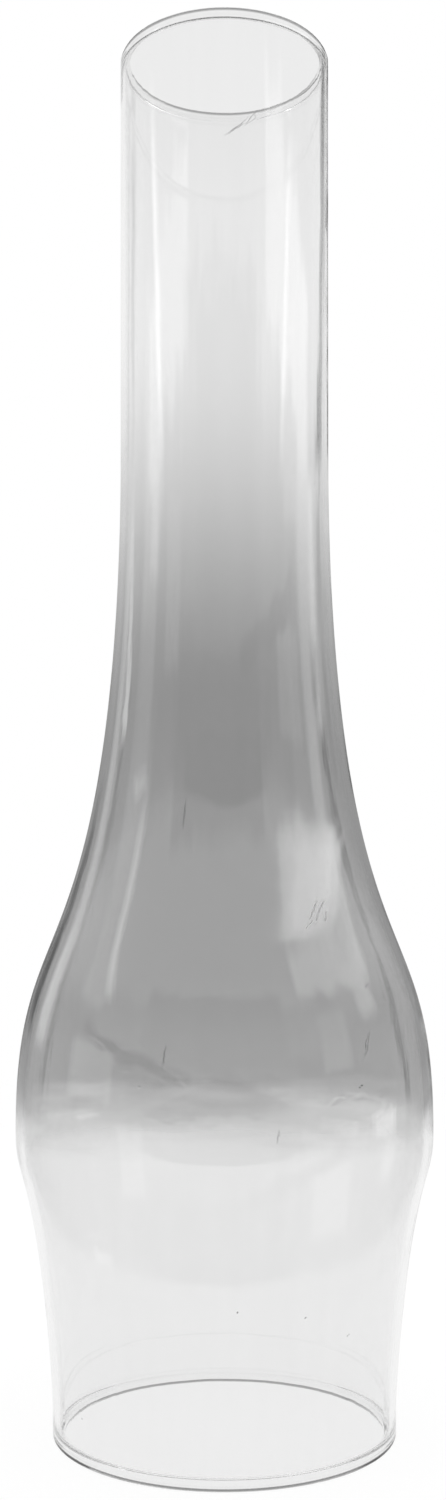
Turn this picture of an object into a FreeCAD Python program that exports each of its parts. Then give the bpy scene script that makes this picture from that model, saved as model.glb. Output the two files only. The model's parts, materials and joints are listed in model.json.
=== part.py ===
import FreeCAD, Part
import Sketcher
import os
from enum import IntEnum
from math import radians

# An oil lamp chimney: one tube of clear blown glass, open at both ends.
# The section of its wall is drawn in the XZ plane, with X as radius and Z as height, and turned
# about Z. Lengths are in millimetres. The origin is the centre of the foot's seat and +Z points
# up the flue. From the seat up come the straight foot, the belly, the shoulder and the neck.

DRIVING_SIZES = [
    ("foot_diameter", 76.2, "outside of the foot, a 3 inch fitter"),
    ("belly_diameter", 92.6, "outside of the widest ring"),
    ("neck_diameter", 46.3, "outside of the straight neck"),
    ("foot_height", 6.0, "seat to the top of the straight foot"),
    ("belly_height", 61.0, "straight foot to the widest ring"),
    ("shoulder_height", 150.5, "widest ring to the straight neck"),
    ("neck_length", 87.3, "straight neck up to the lip"),
    ("foot_wall", 1.5, "glass of the straight foot, above its bead"),
    ("belly_wall", 1.8, "glass at the widest ring"),
    ("shoulder_wall", 1.8, "glass where the shoulder is drawn in"),
    ("neck_wall", 1.0, "glass along the neck, below the lip's bead"),
    ("seat_thickness", 2.6, "glass at the seat, where fire polishing gathered it into a bead"),
    ("seat_edge_radius", 0.9, "fire-polished edges on both sides of the seat"),
    ("seat_land", 0.8, "straight bore through the seat's bead"),
    ("seat_bead_height", 3.2, "seat to the thin wall above its bead"),
    ("lip_thickness", 2.0, "glass at the lip, gathered into a fully rounded bead"),
    ("lip_land", 0.5, "straight bore through the lip's bead"),
    ("lip_bead_height", 2.8, "top of the lip to the thin wall below its bead"),
    ("foot_handle", 5.0, "how far the wall carries on straight above the foot"),
    ("tuck_diameter", 82.6, "point that draws the wall in under the belly"),
    ("tuck_drop", 5.0, "the same point, below the widest ring"),
    ("belly_lower_handle", 13.0, "roundness of the belly below its widest ring"),
    ("belly_upper_handle", 51.0, "roundness of the belly above its widest ring"),
    ("slope_diameter", 61.6, "point that draws the shoulder in"),
    ("slope_rise", 32.0, "the same point, above the widest ring"),
    ("neck_handle", 62.0, "how slowly the shoulder runs out into the neck"),
]

# Levels above the seat, and the radii on the outside and on the flue side of the wall.
BELLY_LEVEL = "(Sizes.foot_height + Sizes.belly_height)"
NECK_LEVEL = "(Sizes.foot_height + Sizes.belly_height + Sizes.shoulder_height)"
LIP_LEVEL = NECK_LEVEL + " + Sizes.neck_length"
LIP_CENTRE_LEVEL = LIP_LEVEL + " - Sizes.lip_thickness / 2"
LIP_LAND_LEVEL = LIP_CENTRE_LEVEL + " - Sizes.lip_land"
LIP_BEAD_LEVEL = LIP_LEVEL + " - Sizes.lip_bead_height"
SEAT_LAND_LEVEL = "(Sizes.seat_edge_radius + Sizes.seat_land)"
OUTSIDE = {
    "foot": "Sizes.foot_diameter / 2",
    "tuck": "Sizes.tuck_diameter / 2",
    "belly": "Sizes.belly_diameter / 2",
    "slope": "Sizes.slope_diameter / 2",
    "neck": "Sizes.neck_diameter / 2",
}
WALLS = {
    "foot": "Sizes.foot_wall",
    "tuck": "(Sizes.foot_wall + Sizes.belly_wall) / 2",
    "belly": "Sizes.belly_wall",
    "slope": "Sizes.shoulder_wall",
    "neck": "Sizes.neck_wall",
}
FLUE = {place: f"{OUTSIDE[place]} - {WALLS[place]}" for place in OUTSIDE}
SEAT_BORE = f"{OUTSIDE['foot']} - Sizes.seat_thickness"
LIP_BORE = f"{OUTSIDE['neck']} - Sizes.lip_thickness"

# Where a sketch constraint takes hold of a curve: at one of its ends or at its centre. The origin
# is where the sketch's own horizontal axis starts.
Place = IntEnum("Place", ["START", "END", "CENTRE"])
ORIGIN = (-1, Place.START)


def fill_sheet(doc):
    """Writes the driving sizes into a spreadsheet, one row each, with the name as alias."""
    sheet = doc.addObject("Spreadsheet::Sheet", "Sizes")
    for row, (name, size, note) in enumerate(DRIVING_SIZES, start=1):
        sheet.set(f"A{row}", name)
        sheet.set(f"B{row}", str(size))
        sheet.set(f"C{row}", note)
        sheet.setAlias(f"B{row}", name)
    doc.recompute()
    return sheet


def origin_plane(body, role):
    """Finds one of the body's own origin planes by its role."""
    return next(plane for plane in body.Origin.OriginFeatures if plane.Role == role)


def belly_poles(radii):
    """The curve from the straight foot to the widest ring, upright at both of its ends."""
    return [
        (radii["foot"], "Sizes.foot_height"),
        (radii["foot"], "Sizes.foot_height + Sizes.foot_handle"),
        (radii["tuck"], f"{BELLY_LEVEL} - Sizes.tuck_drop"),
        (radii["belly"], f"{BELLY_LEVEL} - Sizes.belly_lower_handle"),
        (radii["belly"], BELLY_LEVEL),
    ]


def shoulder_poles(radii):
    """The curve from the widest ring to the straight neck, upright at both of its ends."""
    return [
        (radii["belly"], BELLY_LEVEL),
        (radii["belly"], f"{BELLY_LEVEL} + Sizes.belly_upper_handle"),
        (radii["slope"], f"{BELLY_LEVEL} + Sizes.slope_rise"),
        (radii["neck"], f"{NECK_LEVEL} - Sizes.neck_handle"),
        (radii["neck"], NECK_LEVEL),
    ]


def bead_poles(wall_radius, wall_level, land_radius, land_level):
    """The flue side of a rim's bead, upright where it leaves the wall and where its bore starts."""
    middle = f"({wall_level} + {land_level}) / 2"
    return [
        (wall_radius, wall_level),
        (wall_radius, middle),
        (land_radius, middle),
        (land_radius, land_level),
    ]


class WallSection:
    """The closed section of the wall, with every size bound to the sheet."""

    def __init__(self, body):
        self.sketch = body.newObject("Sketcher::SketchObject", "wall_section")
        self.sketch.AttachmentSupport = [(origin_plane(body, "XZ_Plane"), "")]
        self.sketch.MapMode = "FlatFace"

    def at(self, radius, level):
        """The point that two expressions give at the present sizes."""
        evaluate = self.sketch.evalExpression
        return FreeCAD.Vector(float(evaluate(radius)), float(evaluate(level)), 0)

    def bind(self, name, expression, kind, *places):
        """Adds one dimension and ties it to the sheet."""
        size = float(self.sketch.evalExpression(expression))
        index = self.sketch.addConstraint(Sketcher.Constraint(kind, *places, size))
        self.sketch.renameConstraint(index, name)
        self.sketch.setExpression(f"Constraints.{name}", expression)

    def curve(self, name, poles, first_bound):
        """Adds one smooth curve and ties its poles to the sheet, from the one given on."""
        points = [self.at(*pole) for pole in poles]
        degree = len(points) - 1
        curve = self.sketch.addGeometry(
            Part.BSplineCurve(points, None, None, False, degree, None, False), False
        )
        self.sketch.exposeInternalGeometry(curve)
        for number, (radius, level) in enumerate(poles):
            if number >= first_bound:
                handle = curve + 1 + number
                self.bind(f"{name}_radius_{number}", radius, "DistanceX", *ORIGIN, handle, Place.CENTRE)
                self.bind(f"{name}_level_{number}", level, "DistanceY", *ORIGIN, handle, Place.CENTRE)
        return curve

    def line(self, start, end):
        """Adds a straight stretch between two points."""
        return self.sketch.addGeometry(Part.LineSegment(self.at(*start), self.at(*end)), False)

    def arc(self, centre, radius, first_quarter, last_quarter):
        """Adds a round edge about a centre, between two quarter turns counted from outwards."""
        rounding = Part.Circle(
            self.at(*centre),
            FreeCAD.Vector(0, 0, 1),
            float(self.sketch.evalExpression(radius)),
        )
        edge = Part.ArcOfCircle(rounding, radians(90 * first_quarter), radians(90 * last_quarter))
        return self.sketch.addGeometry(edge, False)

    def join(self, kind, first, first_place, second, second_place):
        """Makes two ends meet, either as they are or smoothly."""
        self.sketch.addConstraint(
            Sketcher.Constraint(kind, first, first_place, second, second_place)
        )

    def draw_side(self, name, radii, foot_level, neck_level):
        """Draws one side of the wall: straight foot, belly, shoulder and straight neck."""
        belly = self.curve(f"{name}_belly", belly_poles(radii), first_bound=0)
        shoulder = self.curve(f"{name}_shoulder", shoulder_poles(radii), first_bound=1)
        foot = self.line((radii["foot"], foot_level), belly_poles(radii)[0])
        neck = self.line(shoulder_poles(radii)[-1], (radii["neck"], neck_level))
        self.join("Coincident", foot, Place.END, belly, Place.START)
        self.join("Coincident", belly, Place.END, shoulder, Place.START)
        self.join("Coincident", shoulder, Place.END, neck, Place.START)
        self.sketch.addConstraint(Sketcher.Constraint("Vertical", foot))
        self.sketch.addConstraint(Sketcher.Constraint("Vertical", neck))
        return foot, neck

    def draw_bead(self, name, wall, wall_end, poles, rim_level):
        """Thickens the glass towards a rim, and returns the straight bore that leads out of it."""
        bead = self.curve(name, poles, first_bound=1)
        self.join("Coincident", wall, wall_end, bead, Place.START)
        _, wall_level = poles[0]
        self.bind(f"{name}_wall_level", wall_level, "DistanceY", *ORIGIN, wall, wall_end)
        land_radius, land_level = poles[-1]
        land = self.line((land_radius, land_level), (land_radius, rim_level))
        self.join("Coincident", bead, Place.END, land, Place.START)
        self.sketch.addConstraint(Sketcher.Constraint("Vertical", land))
        return land

    def draw_lip(self, outer_neck, flue_neck):
        """Closes the top with a fully rounded lip on its bead."""
        poles = bead_poles(FLUE["neck"], LIP_BEAD_LEVEL, LIP_BORE, LIP_LAND_LEVEL)
        land = self.draw_bead("lip_bead", flue_neck, Place.END, poles, LIP_CENTRE_LEVEL)
        centre = (f"{OUTSIDE['neck']} - Sizes.lip_thickness / 2", LIP_CENTRE_LEVEL)
        lip = self.arc(centre, "Sizes.lip_thickness / 2", 0, 2)
        self.join("Tangent", outer_neck, Place.END, lip, Place.START)
        self.join("Tangent", lip, Place.END, land, Place.END)
        self.bind("lip_centre_level", LIP_CENTRE_LEVEL, "DistanceY", *ORIGIN, lip, Place.CENTRE)

    def draw_seat(self, outer_foot, flue_foot):
        """Closes the bottom with a flat seat between two rounded edges, on its bead."""
        edge = "Sizes.seat_edge_radius"
        poles = bead_poles(FLUE["foot"], "Sizes.seat_bead_height", SEAT_BORE, SEAT_LAND_LEVEL)
        land = self.draw_bead("seat_bead", flue_foot, Place.START, poles, edge)
        outer_radius = f"{OUTSIDE['foot']} - {edge}"
        flue_radius = f"{SEAT_BORE} + {edge}"
        seat = self.line((flue_radius, "0"), (outer_radius, "0"))
        outer_edge = self.arc((outer_radius, edge), edge, 3, 4)
        flue_edge = self.arc((flue_radius, edge), edge, 2, 3)
        self.join("Tangent", seat, Place.END, outer_edge, Place.START)
        self.join("Tangent", outer_edge, Place.END, outer_foot, Place.START)
        self.join("Tangent", land, Place.END, flue_edge, Place.START)
        self.join("Tangent", flue_edge, Place.END, seat, Place.START)
        radius_axis, _ = ORIGIN
        for place in (Place.START, Place.END):
            on_axis = Sketcher.Constraint("PointOnObject", seat, place, radius_axis)
            self.sketch.addConstraint(on_axis)
        self.bind("outer_edge_radius", edge, "Radius", outer_edge)
        self.bind("flue_edge_radius", edge, "Radius", flue_edge)


def glass_chimney(doc):
    """Blown glass: the wall's section turned once round the flue."""
    body = doc.addObject("PartDesign::Body", "glass_chimney")
    body.Label = "glass_chimney"
    body.Placement = FreeCAD.Placement()
    section = WallSection(body)
    outer_ends = ("Sizes.seat_edge_radius", LIP_CENTRE_LEVEL)
    flue_ends = ("Sizes.seat_bead_height", LIP_BEAD_LEVEL)
    outer_foot, outer_neck = section.draw_side("outer", OUTSIDE, *outer_ends)
    flue_foot, flue_neck = section.draw_side("flue", FLUE, *flue_ends)
    section.draw_lip(outer_neck, flue_neck)
    section.draw_seat(outer_foot, flue_foot)
    wall = body.newObject("PartDesign::Revolution", "blown_wall")
    wall.Profile = section.sketch
    wall.ReferenceAxis = (section.sketch, ["V_Axis"])
    wall.Angle = 360
    body.Tip = wall
    return body


def check(doc, sub_parts):
    """Stops if anything failed to recompute or if a sub-part isn't one valid solid."""
    for item in doc.Objects:
        if {"Invalid", "Error"} & set(item.State):
            raise RuntimeError(f"{item.Label} failed to recompute: {item.State}")
    for part in sub_parts:
        shape = part.Shape
        if shape.isNull() or not shape.isValid() or len(shape.Solids) != 1:
            raise RuntimeError(f"{part.Label} isn't one valid solid")
        box = shape.BoundBox
        print(
            f"{part.Label}: {shape.Volume / 1000:.2f} cm3 of glass,"
            f" {box.XLength:.2f} x {box.YLength:.2f} x {box.ZLength:.2f} mm"
        )


def main():
    """Builds the chimney and writes each sub-part to its own file."""
    doc = FreeCAD.newDocument("oil_lamp_chimney")
    fill_sheet(doc)
    sub_parts = [glass_chimney(doc)]
    doc.recompute()
    check(doc, sub_parts)
    os.makedirs("parts", exist_ok=True)
    for part in sub_parts:
        part.Shape.exportStep(f"parts/{part.Label}.step")


main()
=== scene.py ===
"""The looks of a clear blown-glass oil lamp chimney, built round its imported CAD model.

Lengths are in metres and angles in degrees. The origin is the centre of the foot's seat, +Z points
up the flue and the camera stands on the -Y side.
"""

import json
import logging
import math
from dataclasses import dataclass, field, fields
from enum import Enum
from typing import Any, TypeAlias

import bmesh
import bpy
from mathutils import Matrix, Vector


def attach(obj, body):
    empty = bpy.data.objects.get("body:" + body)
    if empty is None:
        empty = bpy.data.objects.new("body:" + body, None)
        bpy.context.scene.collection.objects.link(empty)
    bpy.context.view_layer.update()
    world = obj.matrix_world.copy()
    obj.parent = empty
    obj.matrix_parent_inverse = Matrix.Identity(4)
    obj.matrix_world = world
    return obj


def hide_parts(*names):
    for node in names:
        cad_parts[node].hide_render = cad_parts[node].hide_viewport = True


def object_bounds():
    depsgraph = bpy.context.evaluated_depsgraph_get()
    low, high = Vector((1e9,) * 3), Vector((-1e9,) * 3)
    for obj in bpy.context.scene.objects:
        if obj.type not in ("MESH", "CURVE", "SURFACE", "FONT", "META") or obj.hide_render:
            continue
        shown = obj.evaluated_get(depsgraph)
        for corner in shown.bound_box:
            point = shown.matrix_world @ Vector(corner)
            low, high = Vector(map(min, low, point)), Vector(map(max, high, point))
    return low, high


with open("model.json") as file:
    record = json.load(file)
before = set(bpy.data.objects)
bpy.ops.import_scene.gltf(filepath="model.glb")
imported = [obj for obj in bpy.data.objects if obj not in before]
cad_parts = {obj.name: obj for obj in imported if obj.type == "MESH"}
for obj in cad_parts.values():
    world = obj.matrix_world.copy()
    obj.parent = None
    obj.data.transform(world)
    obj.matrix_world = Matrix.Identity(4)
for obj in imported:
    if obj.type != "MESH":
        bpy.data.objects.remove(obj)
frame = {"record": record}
CAD_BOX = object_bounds()

LOG = logging.getLogger("chimney")
NODE = "glass_chimney"
BODY = "root"
MATERIAL_SLOT = "clear_glass"
MILLIMETRE = 0.001
MICROMETRE = 1e-6
FAR = 1e6
DEGREES = 180.0 / math.pi
HALF_TURN = 180.0
FULL_TURN = 360.0
NOISE_SHIFT = 3.7
IMAGE_WIDTH = 446
IMAGE_HEIGHT = 1500

Number: TypeAlias = "float | Value"


class MathsKind(Enum):
    """The Math operations that the expressions in this script use."""

    ADD = "ADD"
    SUBTRACT = "SUBTRACT"
    MULTIPLY = "MULTIPLY"
    DIVIDE = "DIVIDE"
    MODULO = "MODULO"
    FLOOR = "FLOOR"
    ABSOLUTE = "ABSOLUTE"
    SINE = "SINE"
    COSINE = "COSINE"
    ARCSINE = "ARCSINE"
    ARCTAN2 = "ARCTAN2"
    LESS_THAN = "LESS_THAN"
    MINIMUM = "MINIMUM"


class VectorKind(Enum):
    """The Vector Math operations: the first four give a vector and the last two a number."""

    ADD = "ADD"
    SUBTRACT = "SUBTRACT"
    MULTIPLY = "MULTIPLY"
    NORMALIZE = "NORMALIZE"
    LENGTH = "LENGTH"
    DOT_PRODUCT = "DOT_PRODUCT"


class NoiseSeed(Enum):
    """Which of the many noises each use reads: no two uses on one object share a number."""

    FLOOR = 0.0
    TENT_AZIMUTH = 0.0
    TENT_ELEVATION = 1.0
    DRAW_LINES = 1.0
    RINGS = 2.0
    RING_PATCHES = 3.0
    SWELLS = 4.0
    LIP = 5.0
    WAVER = 6.0
    SMUDGES = 9.0


class Value:
    """One number inside a node tree: Python's operators on it add Math nodes."""

    def __init__(self, bench: "NodeBench", socket: bpy.types.NodeSocket) -> None:
        """Keeps the tree's bench and the socket that the number comes from."""
        self.bench = bench
        self.socket = socket

    def __add__(self, other: Number) -> "Value":
        """self + other."""
        return self.bench.maths(MathsKind.ADD, self, other)

    def __radd__(self, other: Number) -> "Value":
        """other + self."""
        return self.bench.maths(MathsKind.ADD, other, self)

    def __sub__(self, other: Number) -> "Value":
        """self - other."""
        return self.bench.maths(MathsKind.SUBTRACT, self, other)

    def __rsub__(self, other: Number) -> "Value":
        """other - self."""
        return self.bench.maths(MathsKind.SUBTRACT, other, self)

    def __mul__(self, other: Number) -> "Value":
        """self * other."""
        return self.bench.maths(MathsKind.MULTIPLY, self, other)

    def __truediv__(self, other: Number) -> "Value":
        """self / other."""
        return self.bench.maths(MathsKind.DIVIDE, self, other)

    def __mod__(self, other: Number) -> "Value":
        """self % other."""
        return self.bench.maths(MathsKind.MODULO, self, other)

    def __abs__(self) -> "Value":
        """The number without its sign."""
        return self.bench.maths(MathsKind.ABSOLUTE, self)

    def floor(self) -> "Value":
        """The whole number just below."""
        return self.bench.maths(MathsKind.FLOOR, self)

    def at_most(self, high: Number) -> "Value":
        """The number, or high if that is less."""
        return self.bench.maths(MathsKind.MINIMUM, self, high)

    def step(
        self, start: Number, end: Number, low: Number = 0.0, high: Number = 1.0
    ) -> "Value":
        """Goes smoothly from low to high while the number goes from start to end.

        Args:
            start: The number where the rise begins.
            end: The number where it has ended.
            low: What comes out before start.
            high: What comes out after end.

        Returns:
            The eased number.
        """
        node = self.bench.node(
            "ShaderNodeMapRange",
            {"interpolation_type": "SMOOTHSTEP"},
            {"Value": self, "From Min": start, "From Max": end, "To Min": low, "To Max": high},
        )
        return Value(self.bench, node.outputs["Result"])


class NodeBench:
    """Adds nodes to one tree, of a material, the world or a piece's geometry."""

    def __init__(self, tree: bpy.types.NodeTree) -> None:
        """Empties the tree and keeps it."""
        self.tree = tree
        tree.nodes.clear()

    def node(
        self,
        kind: str,
        settings: dict[str, Any] | None = None,
        sockets: dict[str | int, Any] | None = None,
    ) -> bpy.types.Node:
        """Adds one node.

        Args:
            kind: Blender's type name of the node.
            settings: What is set on the node itself, before its inputs.
            sockets: Numbers, vectors, colours or links for its inputs, by name or number.

        Returns:
            The new node.
        """
        node = self.tree.nodes.new(kind)
        for name, setting in (settings or {}).items():
            setattr(node, name, setting)
        for name, given in (sockets or {}).items():
            self.feed(node.inputs[name], given)
        return node

    def feed(self, socket: bpy.types.NodeSocket, given: Any) -> None:
        """Links a socket, or sets it where a plain value is given."""
        if isinstance(given, Value):
            given = given.socket
        if isinstance(given, bpy.types.NodeSocket):
            self.tree.links.new(given, socket)
        else:
            socket.default_value = given

    def maths(self, kind: MathsKind, *operands: Number) -> Value:
        """Adds one Math node.

        Args:
            kind: The operation.
            operands: Its numbers, plain or from the tree.

        Returns:
            The result.
        """
        node = self.node("ShaderNodeMath", {"operation": kind.value}, dict(enumerate(operands)))
        return Value(self, node.outputs[0])

    def vector(self, x: Number, y: Number, z: Number) -> bpy.types.NodeSocket:
        """Three numbers as one vector."""
        return self.node("ShaderNodeCombineXYZ", None, {"X": x, "Y": y, "Z": z}).outputs[0]

    def parts(self, vector: Any) -> tuple[Value, Value, Value]:
        """The three numbers of a vector."""
        node = self.node("ShaderNodeSeparateXYZ", None, {"Vector": vector})
        return tuple(Value(self, socket) for socket in node.outputs)

    def vector_maths(self, kind: VectorKind, *operands: Any) -> bpy.types.NodeSocket:
        """One Vector Math node whose result is a vector."""
        settings = {"operation": kind.value}
        node = self.node("ShaderNodeVectorMath", settings, dict(enumerate(operands)))
        return node.outputs["Vector"]

    def measure(self, kind: VectorKind, *operands: Any) -> Value:
        """One Vector Math node whose result is a number."""
        settings = {"operation": kind.value}
        node = self.node("ShaderNodeVectorMath", settings, dict(enumerate(operands)))
        return Value(self, node.outputs["Value"])

    def mix_vectors(self, factor: Number, first: Any, second: Any) -> bpy.types.NodeSocket:
        """A vector between two others."""
        settings = {"data_type": "VECTOR", "clamp_factor": False}
        node = self.node("ShaderNodeMix", settings, {0: factor, 4: first, 5: second})
        return node.outputs[1]

    def noise(self, vector: Any, scale: Number, detail: float, seed: Number) -> Value:
        """Smooth random numbers about a half.

        Args:
            vector: Where the noise is read.
            scale: How many swells a unit of length has.
            detail: How many finer octaves it carries.
            seed: Which of the many noises it is.

        Returns:
            The noise.
        """
        shift = self.vector(seed * NOISE_SHIFT, 0.0, 0.0)
        node = self.node(
            "ShaderNodeTexNoise",
            {"noise_dimensions": "3D"},
            {
                "Vector": self.vector_maths(VectorKind.ADD, vector, shift),
                "Scale": scale,
                "Detail": detail,
            },
        )
        return Value(self, node.outputs["Fac"])

    def wander(self, vector: Any, scale: float, detail: float, reach: float) -> Any:
        """Smooth random vectors about zero.

        Args:
            vector: Where they are read.
            scale: How many swells a unit of length has.
            detail: How many finer octaves they carry.
            reach: How long each of their parts is from end to end.

        Returns:
            The vector's socket.
        """
        node = self.node(
            "ShaderNodeTexNoise", None, {"Vector": vector, "Scale": scale, "Detail": detail}
        )
        middle = self.vector_maths(VectorKind.SUBTRACT, node.outputs["Color"], (0.5, 0.5, 0.5))
        return self.vector_maths(VectorKind.MULTIPLY, middle, (reach, reach, reach))

    def surface(self, shader: bpy.types.Node) -> None:
        """Gives a shader to the material's output."""
        self.node("ShaderNodeOutputMaterial", None, {"Surface": shader.outputs[0]})


def grey(level: float) -> tuple[float, float, float, float]:
    """A neutral colour of one linear level."""
    return (level, level, level, 1.0)


def new_material(name: str) -> tuple[bpy.types.Material, NodeBench]:
    """A material without nodes, and the bench that adds them."""
    material = bpy.data.materials.new(name)
    material.use_nodes = True
    return material, NodeBench(material.node_tree)


def studio_object(
    name: str, form: bmesh.types.BMesh, material: bpy.types.Material
) -> bpy.types.Object:
    """Puts one form of the studio in the scene.

    Args:
        name: The object's name.
        form: Its mesh as it was drawn, which is used up.
        material: Its material.

    Returns:
        The object.
    """
    mesh = bpy.data.meshes.new(name)
    form.to_mesh(mesh)
    form.free()
    mesh.materials.append(material)
    item = bpy.data.objects.new(name, mesh)
    bpy.context.scene.collection.objects.link(item)
    return item


def mount_radius(name: str) -> float:
    """The radius of one of the record's mounts, in metres."""
    mounts = {mount["name"]: mount for mount in frame["record"]["mounts"]}
    return mounts[name]["dims"]["r_mm"] * MILLIMETRE


@dataclass(frozen=True)
class WallSide:
    """The radii of one side of the wall, from the foot up."""

    foot: Number
    tuck: Number
    belly: Number
    slope: Number
    neck: Number


@dataclass(frozen=True)
class WallShape:
    """The sizes of the wall, as plain numbers or as the inputs of a node tree."""

    height: Number
    foot_radius: Number
    seat_bore: Number
    belly_radius: Number
    neck_radius: Number
    neck_bore: Number
    foot_wall: Number = 0.0015
    belly_wall: Number = 0.0018
    slope_wall: Number = 0.0018
    tuck_radius: Number = 0.0413
    slope_radius: Number = 0.0308
    foot_height: Number = 0.006
    belly_level: Number = 0.067
    neck_level: Number = 0.2175
    foot_handle: Number = 0.005
    tuck_drop: Number = 0.005
    belly_lower_handle: Number = 0.013
    belly_upper_handle: Number = 0.051
    slope_rise: Number = 0.032
    neck_handle: Number = 0.062
    seat_edge: Number = 0.0009
    seat_land: Number = 0.0008
    seat_bead: Number = 0.0032
    lip_thickness: Number = 0.002
    lip_land: Number = 0.0005
    lip_bead: Number = 0.0028
    ripple_depth: Number = 0.00005
    ripple_count: Number = 40.0
    ripple_seed: Number = 3.0
    lip_wave: Number = 0.00016

    def outside(self) -> WallSide:
        """The radii on the outside."""
        return WallSide(
            self.foot_radius,
            self.tuck_radius,
            self.belly_radius,
            self.slope_radius,
            self.neck_radius,
        )

    def flue(self) -> WallSide:
        """The radii on the flue side, each the outside less the wall there."""
        return WallSide(
            self.foot_radius - self.foot_wall,
            self.tuck_radius - (self.foot_wall + self.belly_wall) / 2.0,
            self.belly_radius - self.belly_wall,
            self.slope_radius - self.slope_wall,
            self.neck_bore,
        )

    def belly_poles(self, side: WallSide) -> list[tuple[Number, Number]]:
        """The curve from the straight foot to the widest ring, as radius and level."""
        return [
            (side.foot, self.foot_height),
            (side.foot, self.foot_height + self.foot_handle),
            (side.tuck, self.belly_level - self.tuck_drop),
            (side.belly, self.belly_level - self.belly_lower_handle),
            (side.belly, self.belly_level),
        ]

    def shoulder_poles(self, side: WallSide) -> list[tuple[Number, Number]]:
        """The curve from the widest ring to the straight neck, as radius and level."""
        return [
            (side.belly, self.belly_level),
            (side.belly, self.belly_level + self.belly_upper_handle),
            (side.slope, self.belly_level + self.slope_rise),
            (side.neck, self.neck_level - self.neck_handle),
            (side.neck, self.neck_level),
        ]

    def bead_poles(
        self, bore: Number, bore_level: Number, wall: Number, wall_level: Number
    ) -> list[tuple[Number, Number]]:
        """The flue side of a rim's bead, from its straight bore to the thin wall."""
        middle = (bore_level + wall_level) / 2.0
        return [(bore, bore_level), (bore, middle), (wall, middle), (wall, wall_level)]


@dataclass(frozen=True)
class Run:
    """A run of the section along its poles, which one smooth curve follows."""

    steps: int
    poles: tuple[tuple[Number, Number], ...]

    def point(self, bench: NodeBench, share: Value) -> bpy.types.NodeSocket:
        """Where the run is at a share of its length.

        Args:
            bench: The tree that the nodes go into.
            share: From zero at the first pole to one at the last.

        Returns:
            A vector with the radius as X and the level as Z.
        """
        points: list[Any] = [bench.vector(radius, 0.0, level) for radius, level in self.poles]
        while len(points) > 1:
            points = [
                bench.mix_vectors(share, first, second)
                for first, second in zip(points, points[1:])
            ]
        return points[0]


@dataclass(frozen=True)
class Bend:
    """A round edge of the section, about a centre, between two angles from outwards."""

    steps: int
    centre: tuple[Number, Number]
    radius: Number
    first_angle: float
    last_angle: float

    def point(self, bench: NodeBench, share: Value) -> bpy.types.NodeSocket:
        """Where the bend is at a share of its turn.

        Args:
            bench: The tree that the nodes go into.
            share: From zero at the first angle to one at the last.

        Returns:
            A vector with the radius as X and the level as Z.
        """
        turn = math.radians(self.last_angle - self.first_angle)
        angle = share * turn + math.radians(self.first_angle)
        across = bench.maths(MathsKind.COSINE, angle) * self.radius
        up = bench.maths(MathsKind.SINE, angle) * self.radius
        return bench.vector(across + self.centre[0], 0.0, up + self.centre[1])


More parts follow.
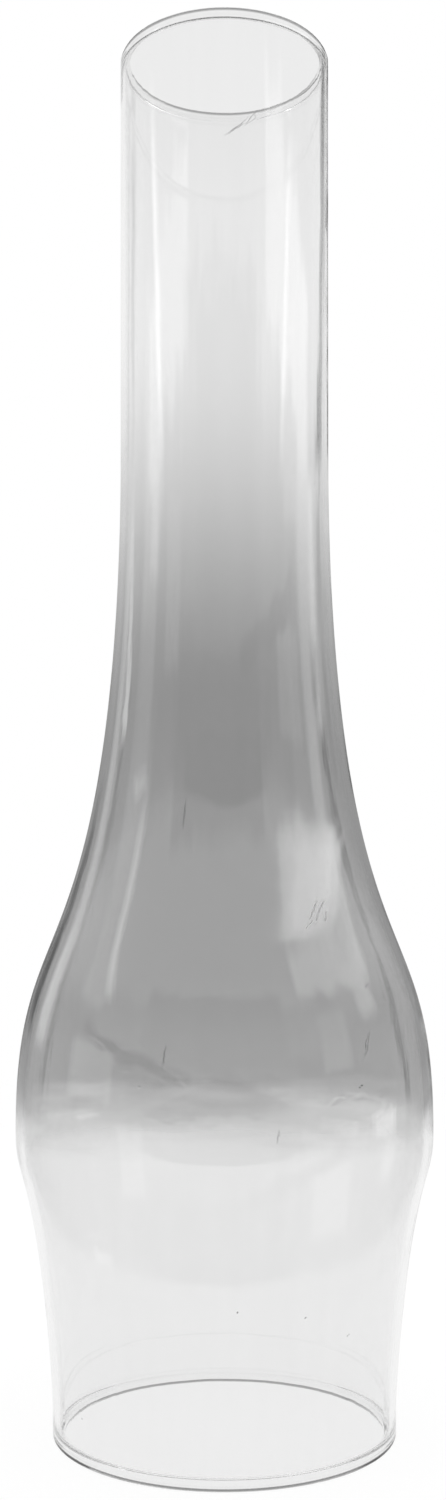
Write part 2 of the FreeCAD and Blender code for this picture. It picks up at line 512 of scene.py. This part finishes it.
@dataclass
class WallLathe:
    """The Geometry Nodes tree that turns the wall's closed section once round the flue."""

    shape: WallShape
    material: bpy.types.Material
    segments: int = 224
    line_steps: int = 2
    belly_steps: int = 44
    shoulder_steps: int = 76
    neck_steps: int = 36
    edge_steps: int = 10
    lip_steps: int = 24
    bead_steps: int = 20
    weld: float = 1e-6
    ripple_fade: float = 0.02
    ripple_detail: float = 1.0
    flue_seed_shift: float = 7.0
    wave_count: float = 1.6
    wave_detail: float = 2.0
    wave_fade: float = 0.006
    given: dict[str, Any] = field(default_factory=dict)

    def section(self, shape: WallShape) -> list[Run | Bend]:
        """The wall's closed section, from the seat's outer edge up, over the lip and back down.

        Args:
            shape: The sizes, here as the tree's inputs.

        Returns:
            The runs and bends in order.
        """
        outside, flue = shape.outside(), shape.flue()
        edge = shape.seat_edge
        lip = shape.lip_thickness / 2.0
        lip_level = shape.height - lip
        lip_bore = outside.neck - shape.lip_thickness
        lip_land_level = lip_level - shape.lip_land
        lip_bead_level = shape.height - shape.lip_bead
        seat_bore = shape.seat_bore
        seat_land_level = edge + shape.seat_land
        lip_bead = shape.bead_poles(lip_bore, lip_land_level, flue.neck, lip_bead_level)
        seat_bead = shape.bead_poles(seat_bore, seat_land_level, flue.foot, shape.seat_bead)
        return [
            Bend(self.edge_steps, (outside.foot - edge, edge), edge, -90.0, 0.0),
            self._line((outside.foot, edge), (outside.foot, shape.foot_height)),
            Run(self.belly_steps, tuple(shape.belly_poles(outside))),
            Run(self.shoulder_steps, tuple(shape.shoulder_poles(outside))),
            Run(
                self.neck_steps,
                ((outside.neck, shape.neck_level), (outside.neck, lip_level)),
            ),
            Bend(self.lip_steps, (outside.neck - lip, lip_level), lip, 0.0, 180.0),
            self._line((lip_bore, lip_level), (lip_bore, lip_land_level)),
            Run(self.bead_steps, tuple(lip_bead)),
            Run(self.neck_steps, ((flue.neck, lip_bead_level), (flue.neck, shape.neck_level))),
            Run(self.shoulder_steps, tuple(reversed(shape.shoulder_poles(flue)))),
            Run(self.belly_steps, tuple(reversed(shape.belly_poles(flue)))),
            self._line((flue.foot, shape.foot_height), (flue.foot, shape.seat_bead)),
            Run(self.bead_steps, tuple(reversed(seat_bead))),
            self._line((seat_bore, seat_land_level), (seat_bore, edge)),
            Bend(self.edge_steps, (seat_bore + edge, edge), edge, 180.0, 270.0),
            self._line((seat_bore + edge, 0.0), (outside.foot - edge, 0.0)),
        ]

    def _line(self, start: tuple[Number, Number], end: tuple[Number, Number]) -> Run:
        """A short straight run of the section."""
        return Run(self.line_steps, (start, end))

    def build_tree(self) -> bpy.types.NodeTree:
        """Makes the tree: a grid is laid along the section and round the flue, and welded.

        Returns:
            The node group.
        """
        tree = bpy.data.node_groups.new("wall_lathe", "GeometryNodeTree")
        bench = NodeBench(tree)
        tree.interface.new_socket(
            "Geometry", in_out="OUTPUT", socket_type="NodeSocketGeometry"
        )
        names = {item.name: item.name.replace("_", " ").title() for item in fields(WallShape)}
        for name, title in names.items():
            self._declare(tree, title, "NodeSocketFloat", getattr(self.shape, name))
        self._declare(tree, "Material", "NodeSocketMaterial", self.material)
        source = bench.node("NodeGroupInput")
        shape = WallShape(
            **{name: Value(bench, source.outputs[title]) for name, title in names.items()}
        )
        section = self.section(shape)
        rows = sum(stretch.steps for stretch in section)
        grid = bench.node(
            "GeometryNodeMeshGrid",
            None,
            {"Vertices X": self.segments + 1, "Vertices Y": rows + 1},
        )
        index = Value(bench, bench.node("GeometryNodeInputIndex").outputs[0])
        column = ((index + 0.5) / float(rows + 1)).floor()
        row = (index - column * float(rows + 1)) % float(rows)
        place = self._along(bench, section, row)
        radius, _, level = bench.parts(place)
        angle = column * (2.0 * math.pi / self.segments)
        cosine = bench.maths(MathsKind.COSINE, angle)
        sine = bench.maths(MathsKind.SINE, angle)
        lip_row = rows / 2.0
        on_flue_side = 1.0 - row.step(lip_row - 1.0, lip_row + 1.0, 1.0, 0.0)
        fade = level.step(0.0, self.ripple_fade) * (shape.height - level).step(
            0.0, self.ripple_fade
        )
        swell = bench.noise(
            bench.vector(radius * cosine, radius * sine, level),
            shape.ripple_count,
            self.ripple_detail,
            shape.ripple_seed + on_flue_side * self.flue_seed_shift,
        )
        radius = radius - swell * fade * shape.ripple_depth
        wave = bench.noise(
            bench.vector(cosine, sine, 0.0), self.wave_count, self.wave_detail, NoiseSeed.LIP.value
        )
        at_lip = (shape.height - level).step(self.wave_fade, 0.0)
        level = level - wave * at_lip * shape.lip_wave
        placed = bench.node(
            "GeometryNodeSetPosition",
            None,
            {
                "Geometry": grid.outputs["Mesh"],
                "Position": bench.vector(radius * cosine, radius * sine, level),
            },
        )
        chain = (
            ("GeometryNodeMergeByDistance", {"Distance": self.weld}),
            ("GeometryNodeSetShadeSmooth", {}),
            ("GeometryNodeRealizeInstances", {}),
            ("GeometryNodeSetMaterial", {"Material": source.outputs["Material"]}),
        )
        for kind, sockets in chain:
            placed = bench.node(kind, None, {"Geometry": placed.outputs["Geometry"], **sockets})
        bench.node("NodeGroupOutput", None, {"Geometry": placed.outputs["Geometry"]})
        return tree

    def _declare(self, tree: bpy.types.NodeTree, title: str, kind: str, given: Any) -> None:
        """Adds one named input and keeps what the modifier sets it to."""
        item = tree.interface.new_socket(title, in_out="INPUT", socket_type=kind)
        self.given[item.identifier] = given

    def _along(
        self, bench: NodeBench, section: list[Run | Bend], row: Value
    ) -> bpy.types.NodeSocket:
        """Where a row of the grid lies on the section, found from the last stretch back."""
        end = sum(stretch.steps for stretch in section)
        place = None
        for stretch in reversed(section):
            start = end - stretch.steps
            point = stretch.point(bench, (row - float(start)) / float(stretch.steps))
            if place is not None:
                before_next = bench.maths(MathsKind.LESS_THAN, row, end - 0.5)
                switch = bench.node(
                    "GeometryNodeSwitch",
                    {"input_type": "VECTOR"},
                    {"Switch": before_next, "True": point, "False": place},
                )
                point = switch.outputs[0]
            place, end = point, start
        return place

    def spin(self, name: str) -> bpy.types.Object:
        """Runs the tree and keeps its result as a plain mesh.

        Args:
            name: The new piece's name.

        Returns:
            The piece, with no modifier left on it.
        """
        piece = bpy.data.objects.new(name, bpy.data.meshes.new(name))
        bpy.context.scene.collection.objects.link(piece)
        modifier = piece.modifiers.new("wall_lathe", "NODES")
        modifier.node_group = self.build_tree()
        for identifier, given in self.given.items():
            modifier[identifier] = given
        evaluated = piece.evaluated_get(bpy.context.evaluated_depsgraph_get())
        mesh = bpy.data.meshes.new_from_object(evaluated)
        piece.modifiers.remove(modifier)
        piece.data = mesh
        mesh.name = name
        return piece


@dataclass(frozen=True)
class Mark:
    """One small mark in the glass, placed by its X and Z, with its sizes in millimetres.

    It is a streak that the turn tips up to the right, in degrees. The shade darkens it, as dirt on
    the specks and streaks and as painted shade on the dents, the frost roughens it and the dent, in
    thousandths of a millimetre, is how far its middle stands out.
    """

    across: float
    level: float
    half_length: float
    half_width: float
    turn: float = 0.0
    shade: float = 0.0
    frost: float = 0.0
    dent: float = 0.0
    at_back: bool = False


@dataclass(frozen=True)
class BlownGlass:
    """Clear blown glass: nearly colourless, fire-polished, with the marks of its making.

    Heights are in thousandths of a millimetre, counts per metre, and a seed's radius and core are
    shares of a cell and of the radius. The marks are in the surface itself, and the dents warp it,
    with a painted shade that darkens them.
    """

    tint: float = 0.93
    streak_tint: float = 0.03
    refraction: float = 1.5
    streak_count: float = 330.0
    streak_stretch: float = 0.05
    streak_height: float = 12.0
    streak_detail: float = 2.5
    ring_count: float = 360.0
    ring_height: float = 2.2
    ring_lean: tuple[float, float] = (0.12, 0.07)
    ring_range: tuple[float, float] = (0.4, 0.7)
    ring_detail: float = 1.0
    swell_count: float = 62.0
    swell_height: float = 55.0
    swell_detail: float = 1.5
    seed_count: float = 240.0
    seed_spread: float = 0.9
    seed_share: float = 0.03
    seed_radius: float = 0.09
    seed_smallest: float = 0.4
    seed_core: float = 0.3
    seed_height: float = 18.0
    seed_shade: float = 0.35
    smudge_count: float = 34.0
    smudge_range: tuple[float, float] = (0.56, 0.78)
    smudge_roughness: float = 0.05
    smudge_detail: float = 4.0
    waver_count: float = 900.0
    waver: float = 0.9
    waver_detail: float = 2.0
    side_fade: float = 1.0
    mark_core: float = 0.3
    marks: tuple[Mark, ...] = (
        Mark(27.0, 80.7, 0.3, 0.3, shade=0.9),
        Mark(21.5, 126.0, 0.25, 0.25, shade=0.9),
        Mark(2.5, 36.6, 0.22, 0.18, shade=0.8),
        Mark(16.0, 34.6, 0.25, 0.2, shade=0.8),
        Mark(25.0, 29.5, 0.25, 0.2, shade=0.8),
        Mark(28.8, 100.5, 0.4, 0.25, 60.0, shade=0.5, frost=0.1),
        Mark(18.0, 116.0, 3.2, 0.16, 68.0, frost=0.5),
        Mark(19.0, 115.2, 2.6, 0.14, 75.0, frost=0.5),
        Mark(19.8, 117.0, 2.0, 0.14, 62.0, frost=0.5),
        Mark(20.5, 114.6, 1.8, 0.14, 84.0, frost=0.5),
        Mark(17.2, 113.2, 1.6, 0.14, 50.0, frost=0.5),
        Mark(2.8, 301.3, 4.2, 0.2, 31.0, shade=0.75, frost=0.1, at_back=True),
        Mark(6.4, 303.0, 2.6, 0.18, 38.0, shade=0.6, frost=0.1, at_back=True),
        Mark(11.3, 304.0, 6.0, 0.35, 12.0, frost=0.5, at_back=True),
        Mark(28.5, 89.0, 3.4, 0.22, 80.0, shade=0.5),
        Mark(-8.2, 135.6, 3.9, 0.18, 86.0, shade=0.45),
        Mark(-11.8, 87.4, 3.0, 0.2, 82.0, shade=0.4),
        Mark(10.4, 72.0, 1.9, 0.18, 80.0, shade=0.4),
    )
    # Dents that bend the surface; their shade darkens the colour there as painted shade.
    dents: tuple[Mark, ...] = (
        Mark(-25.6, 50.7, 3.2, 0.9, 14.0, dent=22.0),
        Mark(-17.5, 86.5, 12.0, 2.0, -25.0, shade=0.06, dent=9.0),
        Mark(-3.0, 79.5, 17.0, 5.6, 0.0, shade=0.05, dent=12.0),
        Mark(24.0, 76.0, 9.5, 3.4, 8.0, shade=0.03, dent=8.0),
    )
    dent_warp: float = 6.0
    dent_warp_count: float = 140.0
    dent_warp_detail: float = 2.0
    dent_core: float = 0.6

    def material(self) -> bpy.types.Material:
        """Makes the finish.

        Returns:
            The material.
        """
        material, bench = new_material(MATERIAL_SLOT)
        place = bench.node("ShaderNodeTexCoord").outputs["Object"]
        streaks = self._streaks(bench, place)
        seeds = self._seeds(bench, place)
        coarse = bench.vector_maths(VectorKind.MULTIPLY, place, (1.0 / MILLIMETRE,) * 3)
        shade, frost = self._marks(bench, place, coarse)
        height = streaks * self.streak_height + self._rings(bench, place)
        swells = bench.noise(place, self.swell_count, self.swell_detail, NoiseSeed.SWELLS.value)
        height = height + swells * self.swell_height - seeds * self.seed_height
        shift = bench.wander(
            place, self.dent_warp_count, self.dent_warp_detail, self.dent_warp
        )
        warped = bench.vector_maths(VectorKind.ADD, coarse, shift)
        front = self._front(bench, coarse)
        # Each dent raises the surface, and its shade adds painted shade to the colour there.
        for dent in self.dents:
            inside = self._inside(bench, warped, dent, self.dent_core) * front
            height = height + inside * dent.dent
            shade = shade + inside * dent.shade
        smudges = bench.noise(
            place, self.smudge_count, self.smudge_detail, NoiseSeed.SMUDGES.value
        )
        smudges = smudges.step(*self.smudge_range)
        colour = streaks * self.streak_tint + (self.tint - self.streak_tint / 2.0)
        # The shade holds the specks' dirt and the dents' painted shade.
        colour = colour * (1.0 - seeds * self.seed_shade) * (1.0 - shade)
        bump = bench.node(
            "ShaderNodeBump",
            None,
            {"Height": height * MICROMETRE, "Distance": 1.0, "Strength": 1.0},
        )
        shader = bench.node(
            "ShaderNodeBsdfPrincipled",
            None,
            {
                "Base Color": bench.vector(colour, colour, colour),
                "Roughness": smudges * self.smudge_roughness + frost,
                "IOR": self.refraction,
                "Transmission Weight": 1.0,
                "Normal": bump.outputs["Normal"],
            },
        )
        bench.surface(shader)
        return material

    def _streaks(self, bench: NodeBench, place: bpy.types.NodeSocket) -> Value:
        """The upright draw lines that the glass gets as it is pulled long."""
        across, along, up = bench.parts(place)
        stretched = bench.vector(across, along, up * self.streak_stretch)
        return bench.noise(
            stretched, self.streak_count, self.streak_detail, NoiseSeed.DRAW_LINES.value
        )

    def _rings(self, bench: NodeBench, place: bpy.types.NodeSocket) -> Value:
        """Fine level ripples, stronger on some sides of the flue than on others."""
        across, along, up = bench.parts(place)
        lean = across * self.ring_lean[0] + along * self.ring_lean[1]
        ripple = bench.noise(
            bench.vector(lean, 0.0, up), self.ring_count, self.ring_detail, NoiseSeed.RINGS.value
        )
        patches = bench.noise(
            place, self.smudge_count, self.ring_detail, NoiseSeed.RING_PATCHES.value
        )
        return ripple * patches.step(*self.ring_range) * self.ring_height

    def _seeds(self, bench: NodeBench, place: bpy.types.NodeSocket) -> Value:
        """Tiny bubbles caught in the glass: one at the middle of a few of the cells."""
        cells = bench.node(
            "ShaderNodeTexVoronoi",
            {"voronoi_dimensions": "3D"},
            {"Vector": place, "Scale": self.seed_count, "Randomness": self.seed_spread},
        )
        pick, size, _ = bench.parts(cells.outputs["Color"])
        chosen = bench.maths(MathsKind.LESS_THAN, pick, self.seed_share)
        radius = (size * (1.0 - self.seed_smallest) + self.seed_smallest) * self.seed_radius
        near = Value(bench, cells.outputs["Distance"]).step(radius, radius * self.seed_core)
        return near * chosen

    def _front(self, bench: NodeBench, place: bpy.types.NodeSocket) -> Value:
        """One on the half of the glass that faces the photo's camera, zero on the other."""
        return bench.parts(place)[1].step(self.side_fade, -self.side_fade)

    def _marks(
        self, bench: NodeBench, place: bpy.types.NodeSocket, coarse: bpy.types.NodeSocket
    ) -> tuple[Value, Value]:
        """The single specks and scratches.

        Args:
            bench: The material's nodes.
            place: Where on the glass it is, in metres.
            coarse: The same in millimetres.

        Returns:
            How dark and how rough the marks are there.
        """
        waver = bench.noise(place, self.waver_count, self.waver_detail, NoiseSeed.WAVER.value)
        waver = (waver - 0.5) * self.waver
        wavered = bench.vector_maths(VectorKind.ADD, coarse, bench.vector(waver, 0.0, waver))
        normal = bench.node("ShaderNodeTexCoord").outputs["Normal"]
        flat = bench.vector_maths(VectorKind.MULTIPLY, wavered, (1.0, 1.0, 0.0))
        outwards = bench.measure(VectorKind.DOT_PRODUCT, flat, normal)
        outside = outwards.step(0.0, self.side_fade)
        front = self._front(bench, wavered)
        sides = (front * outside, (1.0 - front) * (1.0 - outside))
        shade: Number = 0.0
        frost: Number = 0.0
        for mark in self.marks:
            inside = self._inside(bench, wavered, mark, self.mark_core) * sides[mark.at_back]
            shade = shade + inside * mark.shade
            frost = frost + inside * mark.frost
        return shade.at_most(1.0), frost

    def _inside(
        self, bench: NodeBench, place: bpy.types.NodeSocket, mark: Mark, core: float
    ) -> Value:
        """How far inside a mark a place is.

        Args:
            bench: The material's nodes.
            place: Where on the glass it is, in millimetres.
            mark: The mark.
            core: The share of its size within which it has its full strength.

        Returns:
            One in the middle of the mark, zero past its ends and its sides.
        """
        mapped = bench.node(
            "ShaderNodeMapping",
            {"vector_type": "TEXTURE"},
            {
                "Vector": place,
                "Location": (mark.across, 0.0, mark.level),
                "Rotation": (0.0, -math.radians(mark.turn), 0.0),
                "Scale": (mark.half_length, FAR, mark.half_width),
            },
        )
        return bench.measure(VectorKind.LENGTH, mapped.outputs["Vector"]).step(1.0, core)


@dataclass
class Chimney:
    """The object itself: one blown tube of glass, open at both ends."""

    finish: BlownGlass = BlownGlass()

    def shape(self) -> WallShape:
        """The wall's sizes, those that the frame holds taken from it."""
        low, high = CAD_BOX
        return WallShape(
            height=high.z - low.z,
            foot_radius=mount_radius("burner_fitter"),
            seat_bore=mount_radius("foot_bore"),
            belly_radius=min(high.x, high.y, -low.x, -low.y),
            neck_radius=mount_radius("neck_outside"),
            neck_bore=mount_radius("flue_bore"),
        )

    def build(self) -> bpy.types.Object:
        """Blows the wall, dresses it and ties it to the frame.

        Returns:
            The finished piece.
        """
        piece = WallLathe(self.shape(), self.finish.material()).spin("blown_glass")
        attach(piece, BODY)
        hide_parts(NODE)
        return piece


@dataclass(frozen=True)
class Patch:
    """One soft-edged area of the surroundings, placed by azimuth and elevation.

    Azimuth 0 is straight behind the glass, seen from the camera, and 90 is to the right. The edge
    softens the patch's sides and the fade its top and bottom. A lean moves its azimuth by that
    much for each degree that it rises, and a tilt raises it for each degree to the right.
    """

    azimuth: float
    elevation: float
    half_width: float
    half_height: float
    level: float
    edge: float = 2.0
    fade: float = 2.0
    wander: float = 0.0
    lean: float = 0.0
    tilt: float = 0.0


@dataclass(frozen=True)
class LightTent:
    """The white studio tent round the glass: what it shows and reflects.

    The tent is a dome that the camera doesn't see itself: behind the glass it sees plain white.
    """

    white: float = 1.0
    radius: float = 1.0
    middle: float = 0.118
    columns: int = 96
    rows: int = 48
    wall: float = 0.31
    roof_gain: float = 0.62
    top_gain: float = -0.03
    haze: float = 0.06
    table: float = 0.86
    wall_top: tuple[float, float] = (9.0, 27.5)
    roof_top: tuple[float, float] = (31.0, 37.0)
    haze_top: tuple[float, float] = (-4.0, -8.0)
    table_edge: tuple[float, float] = (-21.0, -12.0)
    wander_counts: tuple[float, float] = (9.0, 7.0)
    wander_detail: float = 3.0
    patches: tuple[Patch, ...] = (
        Patch(-174.0, 16.0, 70.0, 5.0, 0.55, 6.0, 5.0, wander=3.0),
        Patch(-174.0, 10.0, 39.0, 18.0, 0.42, 3.0, 2.0, wander=3.0),
        Patch(176.0, -2.5, 54.0, 5.5, 0.22, 3.0, 1.5, wander=4.0),
        Patch(-178.0, -15.0, 42.0, 8.0, 0.1, 3.0, 2.0, wander=3.0),
        Patch(-103.0, 2.0, 13.0, 5.0, 0.95, 3.0),
        Patch(-128.0, 7.3, 33.0, 1.4, 0.0, 2.0, 1.0, wander=2.0, tilt=0.12),
        Patch(-94.0, 23.0, 8.0, 4.0, 1.15, 4.0, 3.0),
        Patch(-101.0, 28.0, 1.8, 3.0, 2.6, 2.0, 6.0, lean=0.9),
        Patch(88.0, 18.0, 5.0, 3.0, 1.5, 4.0, 4.0, wander=1.0),
        Patch(106.0, 28.0, 27.0, 3.0, 1.9, 4.0, 3.0, wander=4.0, tilt=0.148),
        Patch(116.0, 11.0, 8.0, 7.0, 0.9, 2.0, 2.0, wander=1.0),
        Patch(-55.0, 10.0, 4.0, 8.0, 0.95, 3.0, 3.0, wander=1.0),
        Patch(-32.0, 3.5, 4.0, 4.0, 0.1, 3.0, 2.0, wander=2.0),
        Patch(12.2, 0.0, 0.3, 9.0, 0.16, 0.9, 2.0, lean=-0.32),
        Patch(11.7, 15.0, 0.3, 6.0, 0.4, 1.3, 2.0, lean=0.41),
        Patch(18.3, 30.0, 2.2, 8.0, 0.0, 2.6, 2.0, lean=0.41),
        Patch(39.0, 41.0, 4.0, 4.0, 0.2, 5.0, 16.0),
        Patch(-12.3, 0.0, 0.3, 9.0, 0.22, 0.9, 2.0, lean=0.26),
        Patch(-11.5, 21.0, 0.3, 12.0, 0.7, 1.2, 2.0, lean=-0.08),
        Patch(86.0, -8.5, 8.0, 1.0, 1.6, 0.8, 1.0, wander=1.0),
    )

    def build(self) -> bpy.types.Object:
        """Makes the dome, and the plain white that the camera sees past the glass.

        Returns:
            The dome.
        """
        world = bpy.data.worlds.new("plain_white")
        bpy.context.scene.world = world
        world.use_nodes = True
        bench = NodeBench(world.node_tree)
        background = bench.node("ShaderNodeBackground", None, {"Color": grey(self.white)})
        bench.node("ShaderNodeOutputWorld", None, {"Surface": background.outputs[0]})
        dome = bmesh.new()
        bmesh.ops.create_uvsphere(
            dome, u_segments=self.columns, v_segments=self.rows, radius=self.radius
        )
        tent = studio_object("light_tent", dome, self._material())
        tent.location = (0.0, 0.0, self.middle)
        tent.visible_camera = False
        return tent

    def _material(self) -> bpy.types.Material:
        """The light of the dome, from the plain wall and roof and then patch by patch."""
        material, bench = new_material("tent_light")
        place = bench.node("ShaderNodeTexCoord").outputs["Object"]
        direction = bench.vector_maths(VectorKind.NORMALIZE, place)
        across, along, up = bench.parts(direction)
        elevation = bench.maths(MathsKind.ARCSINE, up) * DEGREES
        azimuth = bench.maths(MathsKind.ARCTAN2, across, along) * DEGREES
        level = elevation.step(*self.wall_top, self.wall, self.wall + self.roof_gain)
        level = level + elevation.step(*self.roof_top) * self.top_gain
        level = level + elevation.step(*self.haze_top) * self.haze
        level = elevation.step(*self.table_edge) * (level - self.table) + self.table
        seeds = (NoiseSeed.TENT_AZIMUTH.value, NoiseSeed.TENT_ELEVATION.value)
        stray, lift = (
            (bench.noise(direction, count, self.wander_detail, seed) - 0.5) * 2.0
            for seed, count in zip(seeds, self.wander_counts)
        )
        for patch in self.patches:
            level = self._lay((azimuth, elevation, stray, lift), level, patch)
        shader = bench.node(
            "ShaderNodeEmission", None, {"Color": bench.vector(level, level, level)}
        )
        bench.surface(shader)
        return material

    def _lay(self, angles: tuple[Value, Value, Value, Value], level: Value, patch: Patch) -> Value:
        """Lays one patch over the brightness so far.

        Args:
            angles: The azimuth and elevation, and how far each wanders there.
            level: The brightness so far.
            patch: What is laid over it.

        Returns:
            The brightness with the patch.
        """
        azimuth, elevation, stray, lift = angles
        if patch.wander:
            azimuth = azimuth + stray * patch.wander
            elevation = elevation + lift * patch.wander
        rise = elevation - patch.elevation
        if patch.lean:
            azimuth = azimuth - rise * patch.lean
        aside = azimuth + (FULL_TURN + HALF_TURN - patch.azimuth)
        aside = aside % FULL_TURN - HALF_TURN
        if patch.tilt:
            rise = rise - aside * patch.tilt
        inside = abs(aside).step(patch.half_width + patch.edge, patch.half_width)
        inside = inside * abs(rise).step(patch.half_height + patch.fade, patch.half_height)
        return level + inside * (patch.level - level)


@dataclass(frozen=True)
class SideCard:
    """A bent white card at the right of the glass, which only the glass shows.

    It stands round the glass at its radius, and its light lies between its bottom and its top and
    about its azimuth. A lean moves the light sideways by that much for each metre that it rises.
    Only the near side of the glass mirrors it, so light that has passed through more surfaces than
    most_surfaces doesn't meet it.
    """

    name: str
    radius: float
    azimuth: float
    half_width: float
    edge: float
    bottom: float
    top: float
    fade: float
    level: float
    lean: float = 0.0
    most_surfaces: float = 2.5
    columns: int = 28

    def build(self) -> bpy.types.Object:
        """Makes the card.

        Returns:
            The card.
        """
        sheet = bmesh.new()
        reach = self.half_width + self.edge + abs(self.lean) * (self.top - self.bottom + self.fade)
        columns = []
        for number in range(self.columns + 1):
            turn = math.radians(self.azimuth - reach + 2.0 * reach * number / self.columns)
            across, along = self.radius * math.sin(turn), self.radius * math.cos(turn)
            columns.append(
                [
                    sheet.verts.new((across, along, level))
                    for level in (self.bottom - self.fade, self.top + self.fade)
                ]
            )
        for first, second in zip(columns, columns[1:]):
            sheet.faces.new((first[0], second[0], second[1], first[1]))
        card = studio_object(self.name, sheet, self._material())
        card.visible_camera = False
        return card

    def _material(self) -> bpy.types.Material:
        """White light that fades out towards the card's edges."""
        material, bench = new_material("card_light")
        across, along, up = bench.parts(bench.node("ShaderNodeTexCoord").outputs["Object"])
        azimuth = bench.maths(MathsKind.ARCTAN2, across, along) * DEGREES
        rise = up - (self.bottom + self.top) / 2.0
        aside = abs(azimuth - self.azimuth - rise * self.lean)
        half_height = (self.top - self.bottom) / 2.0
        inside = aside.step(self.half_width + self.edge, self.half_width)
        inside = inside * abs(rise).step(half_height + self.fade, half_height)
        depth = bench.node("ShaderNodeLightPath").outputs["Transmission Depth"]
        inside = inside * bench.maths(MathsKind.LESS_THAN, depth, self.most_surfaces)
        light = bench.node("ShaderNodeEmission", None, {"Color": grey(1.0), "Strength": self.level})
        clear = bench.node("ShaderNodeBsdfTransparent")
        mixed = bench.node(
            "ShaderNodeMixShader", None, {0: inside, 1: clear.outputs[0], 2: light.outputs[0]}
        )
        bench.surface(mixed)
        return material


@dataclass(frozen=True)
class TentFloor:
    """The pale floor: a round sheet that fades out before the tent's wall.

    Its edge is uneven, and it glows a little less for the glass than for the camera.
    """

    solid_radius: float = 0.34
    end_radius: float = 0.76
    segments: int = 96
    seen_glow: float = 0.93
    glass_glow: float = 0.865
    albedo: float = 0.1
    front_edge: tuple[float, float] = (-0.41, -0.37)
    waver: float = 0.3
    waver_count: float = 7.0
    waver_detail: float = 3.0
    front_waver: float = 0.2

    def build(self) -> bpy.types.Object:
        """Makes the sheet.

        Returns:
            The floor.
        """
        sheet = bmesh.new()
        bmesh.ops.create_circle(
            sheet, cap_ends=True, radius=self.end_radius, segments=self.segments
        )
        floor = studio_object("floor", sheet, self._material())
        return floor

    def _material(self) -> bpy.types.Material:
        """Pale card, lit from all round, that fades away towards its edge."""
        material, bench = new_material("floor_card")
        place = bench.node("ShaderNodeTexCoord").outputs["Object"]
        reach = bench.measure(VectorKind.LENGTH, place)
        waver = bench.noise(place, self.waver_count, self.waver_detail, NoiseSeed.FLOOR.value)
        waver = (waver - 0.5) * self.waver
        alpha = (reach + waver).step(self.end_radius, self.solid_radius)
        depth = bench.parts(place)[1] + waver * self.front_waver
        alpha = alpha * depth.step(*self.front_edge)
        seen = Value(bench, bench.node("ShaderNodeLightPath").outputs["Is Camera Ray"])
        glow = seen.step(0.0, 1.0, self.glass_glow, self.seen_glow)
        shader = bench.node(
            "ShaderNodeBsdfPrincipled",
            None,
            {
                "Base Color": grey(self.albedo),
                "Roughness": 1.0,
                "Specular IOR Level": 0.0,
                "Emission Color": bench.vector(glow, glow, glow),
                "Emission Strength": 1.0,
                "Alpha": alpha,
            },
        )
        bench.surface(shader)
        return material


@dataclass(frozen=True)
class PhotoCamera:
    """A level camera close in front of the glass, found from the ellipses of its two rims."""

    focal_pixels: float = 1568.0
    axis_column: float = 224.5
    horizon_row: float = 900.7
    distance: float = 0.350
    height: float = 0.118
    sensor: float = 36.0
    near: float = 0.01

    def build(self) -> bpy.types.Object:
        """Makes the camera and gives it to the scene.

        Returns:
            The camera.
        """
        data = bpy.data.cameras.new("camera")
        data.sensor_width = self.sensor
        data.lens = self.focal_pixels / IMAGE_HEIGHT * self.sensor
        data.shift_x = (IMAGE_WIDTH / 2 - self.axis_column) / IMAGE_HEIGHT
        data.shift_y = (self.horizon_row - IMAGE_HEIGHT / 2) / IMAGE_HEIGHT
        data.clip_start = self.near
        camera = bpy.data.objects.new("camera", data)
        camera.location = (0.0, -self.distance, self.height)
        camera.rotation_euler = (math.pi / 2, 0.0, 0.0)
        bpy.context.scene.collection.objects.link(camera)
        bpy.context.scene.camera = camera
        return camera


@dataclass(frozen=True)
class Studio:
    """The tent, the cards, the floor and the camera, and how far light is followed."""

    tent: LightTent = LightTent()
    cards: tuple[SideCard, ...] = (
        SideCard(
            "side_card",
            radius=0.3,
            azimuth=84.0,
            half_width=8.0,
            edge=12.0,
            bottom=0.252,
            top=0.285,
            fade=0.012,
            level=1.55,
        ),
        SideCard(
            "near_card",
            radius=0.11,
            azimuth=114.0,
            half_width=6.0,
            edge=12.0,
            bottom=0.16,
            top=0.17,
            fade=0.003,
            level=3.5,
            lean=3570.0,
        ),
    )
    floor: TentFloor = TentFloor()
    camera: PhotoCamera = PhotoCamera()
    bounces: int = 32

    def build(self) -> None:
        """Sets the studio up round the object."""
        scene = bpy.context.scene
        scene.view_settings.view_transform = "Standard"
        scene.cycles.max_bounces = self.bounces
        scene.cycles.transmission_bounces = self.bounces
        scene.cycles.glossy_bounces = self.bounces
        self.tent.build()
        for card in self.cards:
            card.build()
        self.floor.build()
        self.camera.build()


def main() -> None:
    """Builds the chimney and the studio round it, and reports each piece."""
    logging.basicConfig(level=logging.INFO, format="%(name)s: %(message)s")
    piece = Chimney().build()
    mesh = piece.data
    LOG.info("%s: %d faces on body %s", piece.name, len(mesh.polygons), BODY)
    Studio().build()


if __name__ == "__main__":
    main()
